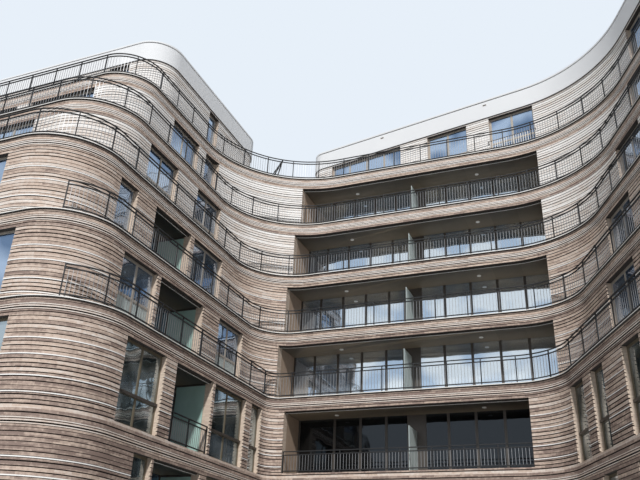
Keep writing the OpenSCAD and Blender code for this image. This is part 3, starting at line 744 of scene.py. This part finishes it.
# The roofs within the crowns: flat concrete slabs on the pavilion walls, under a bed of pale gravel
# that lies loose between the crowns' upstands.
gravel, wire = blank("roof_gravel")
pebble = wire.node("TexVoronoi", {}, "Distance", Vector=wire.node("TexCoord", output="Object"), Scale=30.0)
wire.surface(Base_Color=pebble.mix((0.3, 0.29, 0.27), (0.55, 0.53, 0.5)), Roughness=0.9,
             height=(pebble, 0.02))


def dress(node, material):
    """Gives a CAD node a material of its own."""
    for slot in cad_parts[node].material_slots:
        slot.material = material


dress("left_roof", gravel)
dress("right_roof", gravel)

# The windows: double glazing that mirrors the sky, its colour a painted reflection of a blue sky, in dark
# bronze frames at the back of the loggias, a painted shade of their champagne metal, and in the walls in
# olive frames on the lower storeys' fronts and champagne ones elsewhere. On the first and second floor a
# dark guard bar is fixed before each front window's transom, from jamb to jamb.
BRUSHED = {"scale": 25.0, "rough": 0.35, "vary": 0.15}
# Dark bronze for the door, guard bars and panel bars; on the loggias' frames it is a painted shade of their
# champagne metal.
bronze_and_shade = two_tone("bronze_frame_and_painted_shade", (0.065, 0.056, 0.048), (0.1, 0.086, 0.074), Metallic=0.3, **BRUSHED)
olive = two_tone("olive_frame", (0.15, 0.125, 0.085), (0.21, 0.18, 0.13), Metallic=0.2, **BRUSHED)
champagne = two_tone("champagne_frame", (0.4, 0.36, 0.31), (0.5, 0.45, 0.39), Metallic=0.2, **BRUSHED)
frosted = two_tone("frosted_glass", (0.72, 0.82, 0.8), (0.78, 0.88, 0.86), 3.0, rough=0.35, Alpha=0.6)


def mirror_glass(name, scale, low, high, shade_below=None):
    """Double glazing, whose tone wanders between two colours as a painted reflection of a blue sky with
    clouds does, and as the rooms and the blinds behind the panes do. Below a height it turns near black,
    painted shade."""
    glass, wire = blank(name)
    color = wire.noise(scale, 1.5).between(0.42, 0.58).mix(low, high)
    # Painted shade: under the height the glass turns near black.
    if shade_below:
        height = wire.node("SeparateXYZ", {}, 2, Vector=wire.node("TexCoord", output="Object"))
        color = height.between(shade_below, shade_below + 1).mix((0.03, 0.035, 0.04), color)
    wire.surface(Base_Color=color, Roughness=0.03, Metallic=0.8, IOR=1.8, Alpha=0.92,
                 height=(wire.noise(0.9), 0.01))
    return glass


# The glazings' colours are painted reflections of a sky with clouds, over the rooms behind.
glazing = mirror_glass("double_glazing", 0.5, (0.15, 0.23, 0.36), (0.46, 0.57, 0.72))
curtained = mirror_glass("curtained_glazing", 0.6, (0.52, 0.64, 0.78), (0.9, 0.95, 0.97), 8.8)
street = mirror_glass("street_glazing", 0.9, (0.14, 0.18, 0.19), (0.48, 0.55, 0.58))
window_materials = (bronze_and_shade, glazing, frosted, curtained, champagne, olive, street)
BRONZE_AND_SHADE, CLEAR, FROSTED, CURTAINED, CHAMPAGNE, OLIVE, STREET = range(7)


def bars(centre, along, half, low, high, slot=0):
    """Upright boxes as points, faces and a slot: each has its middle in plan, the direction of its
    length, half its length and half its depth, and the heights of its foot and its top."""
    centre = np.atleast_2d(np.asarray(centre, float))
    count = len(centre)
    along = np.broadcast_to(along, (count, 2))
    across = np.stack([-along[:, 1], along[:, 0]], 1)
    half = np.broadcast_to(half, (count, 2))
    x = np.array([-1, 1, 1, -1])[None, :, None]
    y = np.array([-1, -1, 1, 1])[None, :, None]
    flat = centre[:, None] + along[:, None] * half[:, :1, None] * x + across[:, None] * half[:, 1:, None] * y
    points, corners = raised(np.concatenate([flat, flat], 1), [low] * 4 + [high] * 4)
    shape = np.array([(0, 3, 2, 1), (4, 5, 6, 7), (0, 1, 5, 4), (1, 2, 6, 5), (2, 3, 7, 6), (3, 0, 4, 7)])
    return points, corners[:, shape].reshape(-1, 4), slot


def on_face(axes, across, into, low, high, slot=0):
    """One box on a facade: its two places along the face, its two depths behind it and its heights."""
    origin, along, inwards = axes
    centre = origin + along * sum(across) / 2 + inwards * sum(into) / 2
    return bars(centre, along, ((across[1] - across[0]) / 2, (into[1] - into[0]) / 2), low, high, slot)


def gathered(name, parts, materials):
    """One piece from parts, each (points, faces, slot)."""
    groups, first = [], 0
    for points, faces, slot in parts:
        groups.append((first + faces, slot))
        first += len(points)
    return make_piece(name, np.vstack([part[0] for part in parts]), groups, materials)


FRAME_W, FRAME_D, SET, PANE, SASH, SASH_SET = 0.06, 0.08, 0.18, 0.028, 0.026, 0.012


def window(axes, start, width, low, high, mullions, into, transom=None, slots=(BRONZE_AND_SHADE, CLEAR, CLEAR)):
    """A framed window on a facade: outer frame, mullions, a sash in every light and the panes. slots
    holds the numbers of the materials of the frame, of the panes under a transom and of the others."""
    out = []

    def box(left, right, bottom, top, deep, slot=slots[0]):
        out.append(on_face(axes, (left, right), deep, bottom, top, slot))

    def surround(left, right, bottom, top, bar, deep):
        box(left, right, bottom, bottom + bar, deep)
        box(left, right, top - bar, top, deep)
        box(left, left + bar, bottom + bar, top - bar, deep)
        box(right - bar, right, bottom + bar, top - bar, deep)

    end, back, half = start + width, into + FRAME_D, FRAME_W / 2
    middle = (into + back) / 2
    surround(start, end, low, high, FRAME_W, (into, back))
    for x in mullions:
        box(x - half, x + half, low + FRAME_W, high - FRAME_W, (into, back))
    edges = [start + half, *mullions, end - half]
    rows = [(low + FRAME_W, high - FRAME_W, slots[2])]
    if transom:
        rows = [(low + FRAME_W, transom - half, slots[1]), (transom + half, high - FRAME_W, slots[2])]
    for left, right in zip(edges[:-1], edges[1:]):
        a, b = left + half, right - half
        if transom:
            box(a, b, transom - half, transom + half, (into, back))
        for bottom, top, slot in rows:
            surround(a, b, bottom, top, SASH, (into + SASH_SET, back - SASH_SET))
            box(a + SASH, b - SASH, bottom + SASH, top - SASH, (middle - PANE / 2, middle + PANE / 2), slot)
    return out


LIGHT_W, LIGHT_SPARE = 1.25, 0.1


def even(start, width):
    """Mullions that part a window into equal lights of about the usual width at most."""
    count = math.ceil((width - LIGHT_SPARE) / LIGHT_W)
    return [start + width * i / count for i in range(1, count)]


TRANSOM_Z, BAR_H, BAR_OUT = 1.0, 0.09, 0.06
# The storeys whose wing windows are frosted under the transom, and where the skew face's stop being so
FROSTED_STOREYS, FROSTED_TO = (3, 5, 6), 3.0
LOGGIA_D, PIER_W, UPPER_PIER, LOW_PIER = 1.6, 0.65, -0.6, -0.35
# The mullions at the back of the court's loggias, on the two sides of each pier
upper_lights = ((-4.9, -3.75, -2.6, -1.45), (1.2, 2.4, 3.6, 4.8))
low_lights = ((-3.69, -2.5, -1.35), (1.32, 2.45, 3.6))
for k, name in enumerate(NAMES):
    axes = facades(k)
    parts = []
    for opening in windows[k]:
        face, start, width, sill = opening
        low = foot_z(k, opening)
        screened = (face == "wing" and k in FROSTED_STOREYS) or (face == "skew" and start < FROSTED_TO)
        halved = screened or face in ("rear", "skew")
        slots = (CHAMPAGNE, FROSTED if screened else CLEAR, CLEAR)
        if k < FIRST_LEDGE and face != "rear":
            halved = k > 0
            slots = (OLIVE, STREET, STREET)
            if halved:
                across, z = (start, start + width), low + TRANSOM_Z
                parts.append(on_face(axes[face], across, (SET - BAR_OUT, SET), z - BAR_H / 2, z + BAR_H / 2))
        transom = low + TRANSOM_Z if halved else None
        parts += window(axes[face], start, width, low, head_z[k], even(start, width), SET, transom, slots)
    # The loggias' frames are dark bronze, a painted shade of their champagne metal.
    for face, start, width, sill in loggias[k]:
        rest = (slab_high[k], wall_high[k])
        if face == "court":
            pier, lights = (UPPER_PIER, upper_lights) if sill == 0 else (LOW_PIER, low_lights)
            slots = (BRONZE_AND_SHADE, CURTAINED, CURTAINED)
            for a, b, mullions in ((start, pier, lights[0]), (pier + PIER_W, start + width, lights[1])):
                parts += window(axes[face], a, b - a, *rest, mullions, LOGGIA_D, None, slots)
        else:
            parts += window(axes[face], start, width, *rest, even(start, width), LOGGIA_D)
    piece = gathered(f"{name}_glazed_frames", parts, window_materials)
    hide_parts(f"{name}_windows")

# Small fittings of the right pavilion: a guard of flat bars before the last window of its court face,
# held off the wall by short arms, and two overflow slots in pale frames in the crown above, with mouths
# of painted shade.
GUARD_OUT, GUARD_H, GUARD_FOOT, GUARD_SIDE, GUARD_BAR, GUARD_PITCH = 0.1, 1.05, 0.06, 0.08, 0.03, 0.12
PICKET_HALF, PICKET_FRONT, PICKET_BACK, ARM_IN = 0.014, 0.007, 0.023, 0.01
OVERFLOWS, OVERFLOW_Z = (-2.39, 3.64), 25.2
axes = facades(TOP)["skew"]
guarded = max(opening for opening in windows[TOP] if opening[0] == "skew")
left, right = guarded[1] - GUARD_SIDE, guarded[1] + guarded[2] + GUARD_SIDE
low = foot_z(TOP, guarded)
parts = []
for z in (low + GUARD_FOOT, low + GUARD_H):
    parts.append(on_face(axes, (left, right), (-GUARD_OUT, GUARD_BAR - GUARD_OUT), z - GUARD_BAR, z))
    for x in (left, right - GUARD_BAR):
        parts.append(on_face(axes, (x, x + GUARD_BAR), (GUARD_BAR - GUARD_OUT, ARM_IN), z - GUARD_BAR, z))
for x in np.arange(left + GUARD_PITCH, right - GUARD_BAR, GUARD_PITCH):
    parts.append(on_face(axes, (x - PICKET_HALF, x + PICKET_HALF),
                         (PICKET_FRONT - GUARD_OUT, PICKET_BACK - GUARD_OUT), low + GUARD_FOOT,
                         low + GUARD_H - GUARD_BAR, 1))
# Each overflow is a pale frame and a mouth of painted shade, as half its width and height, and how far it
# stands out
for x in OVERFLOWS:
    for half_w, half_h, out, slot in ((0.12, 0.06, 0.006, 1), (0.09, 0.035, 0.012, 2)):
        parts.append(on_face(axes, (x - half_w, x + half_w), (-CROWN_LIP - out, -CROWN_LIP + ARM_IN),
                             OVERFLOW_Z - half_h, OVERFLOW_Z + half_h, slot))
fittings = gathered("pavilion_fittings", parts, (bronze_and_shade, coping, painted_shadow_gap))

# The entrance: a dark bronze metal door in two glazed leaves over a kick panel, set in the court's wall
# behind brick reveals, with a long pull handle on two short stems on each leaf.
KICK, KICK_SET = 0.3, 0.02
HANDLE, HANDLE_SIDE, HANDLE_OUT, HANDLE_LOW, HANDLE_HIGH = 0.03, 0.11, 0.06, 0.7, 1.7
STEM, STEM_ENDS, STEM_INSET = 0.02, (-0.04, 0.02), 0.1
axes = facades(0)["court"]
low, high = slab_high[0], head_z[0]
start, end = ENTRANCE[1], ENTRANCE[1] + ENTRANCE[2]
middle = start + ENTRANCE[2] / 2
parts = window(axes, start, ENTRANCE[2], low, high, [middle], SET, low + KICK)
parts.append(on_face(axes, (start + FRAME_W, end - FRAME_W), (SET + KICK_SET, SET + FRAME_D - KICK_SET),
                     low, low + KICK))
for x in (middle - HANDLE_SIDE, middle + HANDLE_SIDE):
    deep = (SET - HANDLE_OUT, SET - HANDLE_OUT + HANDLE)
    parts.append(on_face(axes, (x - HANDLE / 2, x + HANDLE / 2), deep, low + HANDLE_LOW, low + HANDLE_HIGH))
    for z in (low + HANDLE_LOW + STEM_INSET, low + HANDLE_HIGH - STEM_INSET):
        parts.append(on_face(axes, (x - STEM / 2, x + STEM / 2), (SET + STEM_ENDS[0], SET + STEM_ENDS[1]),
                             z, z + STEM))
door = gathered("entrance_leaves", parts, (bronze_and_shade, glazing))
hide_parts("entrance_door")

# The railings: anthracite flat bars on slim posts, darkened to near black with painted shade, with thin
# upright balusters of the same metal lightened to grey with painted light, in smooth curves along the
# ledges and round the roof terrace, and straight ones in the lower loggias.
PAINTED = {"scale": 70.0, "vary": 0.15}
# Painted shade and painted light: one anthracite metal, near black on rails and posts and grey on the
# balusters.
rail_metal_shade = two_tone("anthracite_metal_painted_shade", (0.006, 0.006, 0.007), (0.012, 0.012, 0.013), rough=0.6, **PAINTED)
baluster_lit = two_tone("baluster_painted_light", (0.26, 0.26, 0.265), (0.35, 0.35, 0.355), rough=0.35, Metallic=0.5,
                    **PAINTED)

RAIL_H, RAIL_GAP, RAIL_T, RAIL_W, RAIL_SET, RAIL_FOOT = 1.1, 0.14, 0.035, 0.05, 0.06, 0.08
POST_PITCH, BALUSTER_PITCH, POST, BALUSTER = 1.4, 0.13, (0.02, 0.02), (0.007, 0.007)
# Where the brace of the roof terrace's railing stands along the court's left corner, and its legs
STRUT_AT, STRUT_REACHES, STRUT = 0.61, (0.28, 0.55, 0.72), (0.025, 0.025)
# From this ledge up the railings run to the block's ends. Below it they stop on the noses, at angles
# in degrees.
WHOLE_FROM, RAIL_START, RAIL_STOP = 5, -57, 237
rail_z = (RAIL_FOOT, RAIL_H - RAIL_GAP - RAIL_T, RAIL_H - RAIL_T)
rail_insets = (RAIL_SET, RAIL_SET + RAIL_W)


def traced(path):
    """The points of an open path, smooth round its arcs."""
    out = []
    for stretch in path:
        turns = math.ceil(abs(stretch[4] - stretch[3]) / ARC_STEP) if stretch[0] == "arc" else 1
        points = walk(stretch, np.linspace(0, 1, turns + 1))[0]
        out.append(points if not out else points[1:])
    return np.vstack(out)


def ribbon(left, right, low, high, slot=0):
    """A bar along two parallel paths, between two heights, with closed ends."""
    count = len(left)
    rows = [np.column_stack([side, np.full(count, z)]) for side, z in
            ((left, low), (right, low), (right, high), (left, high))]
    i = np.arange(count - 1)
    faces = [quads(a * count + i, b * count + i, b * count + i + 1, a * count + i + 1)
             for a, b in ((0, 1), (1, 2), (2, 3), (3, 0))]
    ends = np.array([(0, 3, 2, 1), (0, 1, 2, 3)]) * count + [[0], [count - 1]]
    return np.vstack(rows), np.vstack([*faces, ends]), slot


def spread(path, pitch):
    """Points spread evenly along a path, no further apart than the pitch, and the way it runs there."""
    steps = np.diff(path, axis=0)
    run = np.concatenate([[0], np.cumsum(np.linalg.norm(steps, axis=1))])
    count = math.ceil(run[-1] / pitch)
    at = np.linspace(RAIL_W / 2, run[-1] - RAIL_W / 2, count + 1)
    which = np.clip(np.searchsorted(run, at, side="right") - 1, 0, len(steps) - 1)
    along = steps / np.linalg.norm(steps, axis=1)[:, None]
    return path[which] + along[which] * (at - run[which])[:, None], along[which]


def railing(sides, foot, z):
    """A railing between two parallel paths: three rails and posts in near-black painted shade, and
    balusters in a second, grey material of painted light, over the height z."""
    parts = [ribbon(*sides, z + h, z + h + RAIL_T) for h in (foot + rail_z[0], *rail_z[1:])]
    middle = (sides[0] + sides[1]) / 2
    parts.append(bars(*spread(middle, POST_PITCH), POST, z + foot, z + RAIL_H - RAIL_T / 2))
    low, high = z + foot + RAIL_FOOT + RAIL_T / 2, z + rail_z[1] + RAIL_T / 2
    parts.append(bars(*spread(middle, BALUSTER_PITCH), BALUSTER, low, high, 1))
    return parts


def rail_line(level, inset):
    """The line of a ledge's railing. The lower two begin on the noses, the others at the ends."""
    path = court_front(level, inset)
    if level < WHOLE_FROM:
        a, b = path[0], path[-1]
        begin = rounded(a[1], a[2], RAIL_START, 0)
        return traced([begin, *path[1:-1], rounded(b[1], b[2], math.degrees(b[3]), RAIL_STOP)])
    whole = traced(path)
    return np.vstack([[left_x, whole[0, 1]], whole, [right_x, whole[-1, 1]]])


for level in range(FIRST_LEDGE, TOP + 1):
    z = floor_z[level]
    parts = railing([rail_line(level, inset) for inset in rail_insets], 0.0, z)
    if level == TOP:
        parts += railing([np.array([(left_x + inset, left_pavilion_rear), (left_x + inset, rear_y - inset),
                                    (right_pavilion_x, rear_y - inset)]) for inset in rail_insets], 0.0, z)
        top = walk(court_front(level, rail_insets[1])[2], [STRUT_AT])[0]
        for reach in STRUT_REACHES:
            foot = top - (reach, 0)
            parts.append(bars(foot, (1, 0), STRUT, z, z + RAIL_H - RAIL_T))
            parts[-1][0][4:, :2] += top - foot
    rail = gathered(f"{NAMES[level]}_balustrade", parts, (rail_metal_shade, baluster_lit))
    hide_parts(f"{NAMES[level]}_railing")

parts = []
for k, row in enumerate(loggias):
    for face, start, width, sill in row:
        if sill > 0:
            origin, along, inwards = facades(k)[face]
            sides = [np.array([origin + along * u + inwards * inset for u in (start, start + width)])
                     for inset in rail_insets]
            parts += railing(sides, sill, floor_z[k])
infill = gathered("loggia_balustrades", parts, (rail_metal_shade, baluster_lit))
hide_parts("loggia_rails")

# The loggias: ceilings of brown boards, darkened partly with painted shade, edged with a white strip
# behind a gap at the wall face painted near black as shade, small round lamps in them, smooth brick
# cheeks, clad piers and frosted screens between the flats. The wing's four have a satin glass panel
# under a dark bar on their far cheek.
# The boards' brown is darkened partly with painted shade.
board, wire = blank("ceiling_boards")
laid = wire.bond("Object", offset=0.0, width=1.2, height=2.4, gap=0.006, blur=0.0, darkest=0.4)
shade = laid * 0.6 + wire.noise(3.0, 3.0) * 0.4
wire.surface(Base_Color=shade.mix((0.15, 0.118, 0.08), (0.25, 0.2, 0.14)), Roughness=0.7)
strip = two_tone("white_strip", (0.88, 0.86, 0.82), (0.94, 0.92, 0.88), 4.0, rough=0.6)

SOFFIT_T, SOFFIT_SET, GAP_W, EDGE_T, EDGE_H = 0.04, 0.12, 0.08, 0.02, 0.055
LAMP_R, LAMP_H, LAMP_BACK, LAMP_SIDES, LAMPS_X = 0.09, 0.025, 0.95, 20, (-3.35, 2.92)
FACE_PROBES, NEAR = 46, 1e-3


def along_opening(k, opening, inset):
    """The line of a storey's wall face moved inwards, between the two jambs of an opening."""
    face, start, width = opening[:3]
    origin, along = facades(k)[face][:2]
    probe = np.linspace(0, 1, FACE_PROBES)
    points = np.vstack([walk(stretch, probe)[0] for stretch in storey_plan(k, inset) if face in stretch[-1]])
    place = (points - origin) @ along
    if place[-1] < place[0]:
        points, place = points[::-1], place[::-1]
    ends = [[np.interp(edge, place, points[:, axis]) for axis in (0, 1)] for edge in (start, start + width)]
    inside = (place > start + NEAR) & (place < start + width - NEAR)
    points = np.vstack([ends[0], points[inside], ends[1]])
    return points[np.concatenate([[True], np.linalg.norm(np.diff(points, axis=0), axis=1) > NEAR])]


def resampled(line, count):
    """The same line with another number of points, at even steps of the old ones."""
    steps = np.linspace(0, len(line) - 1, count)
    return np.column_stack([np.interp(steps, np.arange(len(line)), line[:, axis]) for axis in (0, 1)])


def lamp(middle, z):
    """A low round lamp under a ceiling at the height z: its rim and its face, which looks down."""
    turn = np.linspace(0, 2 * math.pi, LAMP_SIDES, endpoint=False)
    edge = middle + LAMP_R * np.column_stack([np.cos(turn), np.sin(turn)])
    rim = np.vstack([edge, edge[:1]])
    wall = np.column_stack([np.vstack([rim, rim]), np.repeat([z - LAMP_H, z], len(rim))])
    i = np.arange(len(rim))
    return [(wall, strip_of(i, i + len(rim)), 1), (*on_top(edge, z - LAMP_H, -1), 1)]


parts = []
for k, row in enumerate(loggias):
    for opening in row:
        face, start, width, sill = opening
        origin, along, inwards = facades(k)[face]
        sets = (SOFFIT_SET, SOFFIT_SET + GAP_W, SOFFIT_SET + GAP_W + EDGE_T)
        lines = [along_opening(k, opening, inset) for inset in sets]
        size = min(len(line) for line in lines)
        front, gap_end, behind = (resampled(line, size) for line in lines)
        back = [origin + along * u + inwards * LOGGIA_D for u in (start + width, start)]
        outline = np.vstack([gap_end, back])
        low, high = head_z[k] - SOFFIT_T, head_z[k]
        parts += [(*on_top(outline, low, -1), 0), (*on_top(outline, high, 1), 0)]
        # The gap at the wall face takes the near-black underside material, painted shade.
        parts += [ribbon(front, gap_end, low, high, 2), ribbon(gap_end, behind, high - EDGE_H, high, 1)]
        if face == "court":
            for x in LAMPS_X:
                parts += lamp(origin + along * x + inwards * LAMP_BACK, low)
ceilings = gathered("loggia_ceilings", parts, (board, strip, underside_shade))
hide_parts("loggia_soffits")

# The cheeks' brick is darker than the reveals', partly painted shade of the deep loggias.
cheek = two_tone("cheek_brick", (0.32, 0.23, 0.165), (0.46, 0.34, 0.25), 6.0, 5.0, 0.85,
                 bump=(6.0, 0.003, 5.0))
dress("loggia_cheeks", cheek)
dress("loggia_piers", bronze_and_shade)
dress("loggia_screens", frosted)

satin = two_tone("satin_panel", (0.3, 0.46, 0.4), (0.48, 0.67, 0.6), 1.5, rough=0.4)
PANEL_T, PANEL_GAP, PANEL_BAR = 0.02, 0.01, 0.06
parts = []
for k, row in enumerate(loggias):
    for face, start, width, sill in row:
        if face == "wing":
            end = start + width - PANEL_GAP
            low, high = floor_z[k] + PANEL_GAP, head_z[k] - SOFFIT_T - PANEL_GAP
            deep = (WALL, LOGGIA_D - PANEL_GAP)
            parts.append(on_face(facades(k)[face], (end - PANEL_T, end), deep, low, high - PANEL_BAR))
            parts.append(on_face(facades(k)[face], (end - 2 * PANEL_T, end), deep, high - PANEL_BAR, high, 1))
panels = gathered("loggia_side_panels", parts, (satin, bronze_and_shade))

# The studio: a pale floor, a soft sun from behind the camera and to its right, and an even pale sky,
# which glass and metal mirror.
REACH = 400
SUN_STRENGTH, SUN_SPREAD, SUN_SIDE, SUN_HEIGHT = 3.2, math.radians(4), math.radians(18), math.radians(42)


def studio_tone(wire, lit, shown):
    """The colour shown to the camera, in gloss and through glass, and the one that lights the building."""
    seen = sum(wire.node("LightPath", output=f"Is {ray} Ray") for ray in ("Camera", "Glossy", "Transmission"))
    return seen.math("MINIMUM", seen, 1.0).mix(lit, shown)


ground, wire = blank("studio_floor")
wire.surface(Base_Color=studio_tone(wire, (0.42, 0.42, 0.415), (0.78, 0.78, 0.77)), Roughness=0.9)
mesh = bpy.data.meshes.new("studio_floor")
corners = [(x * REACH, y * REACH, 0) for x, y in ((-1, -1), (1, -1), (1, 1), (-1, 1))]
mesh.from_pydata(corners, [], [(0, 1, 2, 3)])
mesh.materials.append(ground)
floor = bpy.data.objects.new("studio_floor", mesh)
bpy.context.scene.collection.objects.link(floor)

sun = bpy.data.objects.new("sun", bpy.data.lights.new("sun", "SUN"))
sun.data.energy = SUN_STRENGTH
sun.data.angle = SUN_SPREAD
to_sun = Vector((math.sin(SUN_SIDE) * math.cos(SUN_HEIGHT), -math.cos(SUN_SIDE) * math.cos(SUN_HEIGHT),
                 math.sin(SUN_HEIGHT)))
sun.rotation_euler = to_sun.to_track_quat("Z", "Y").to_euler()
bpy.context.scene.collection.objects.link(sun)

world = bpy.data.worlds.new("studio_sky")
bpy.context.scene.world = world
world.use_nodes = True
world.node_tree.nodes.clear()
world.node_tree.nodes.new("ShaderNodeOutputWorld")
wire = Wire(world.node_tree)
sky = wire.node("Background", Color=studio_tone(wire, (0.27, 0.29, 0.32), (0.8, 0.87, 0.95)), Strength=1.0)
world.node_tree.links.new(sky.socket, world.node_tree.nodes[0].inputs[0])
bpy.context.scene.view_settings.view_transform = "Standard"
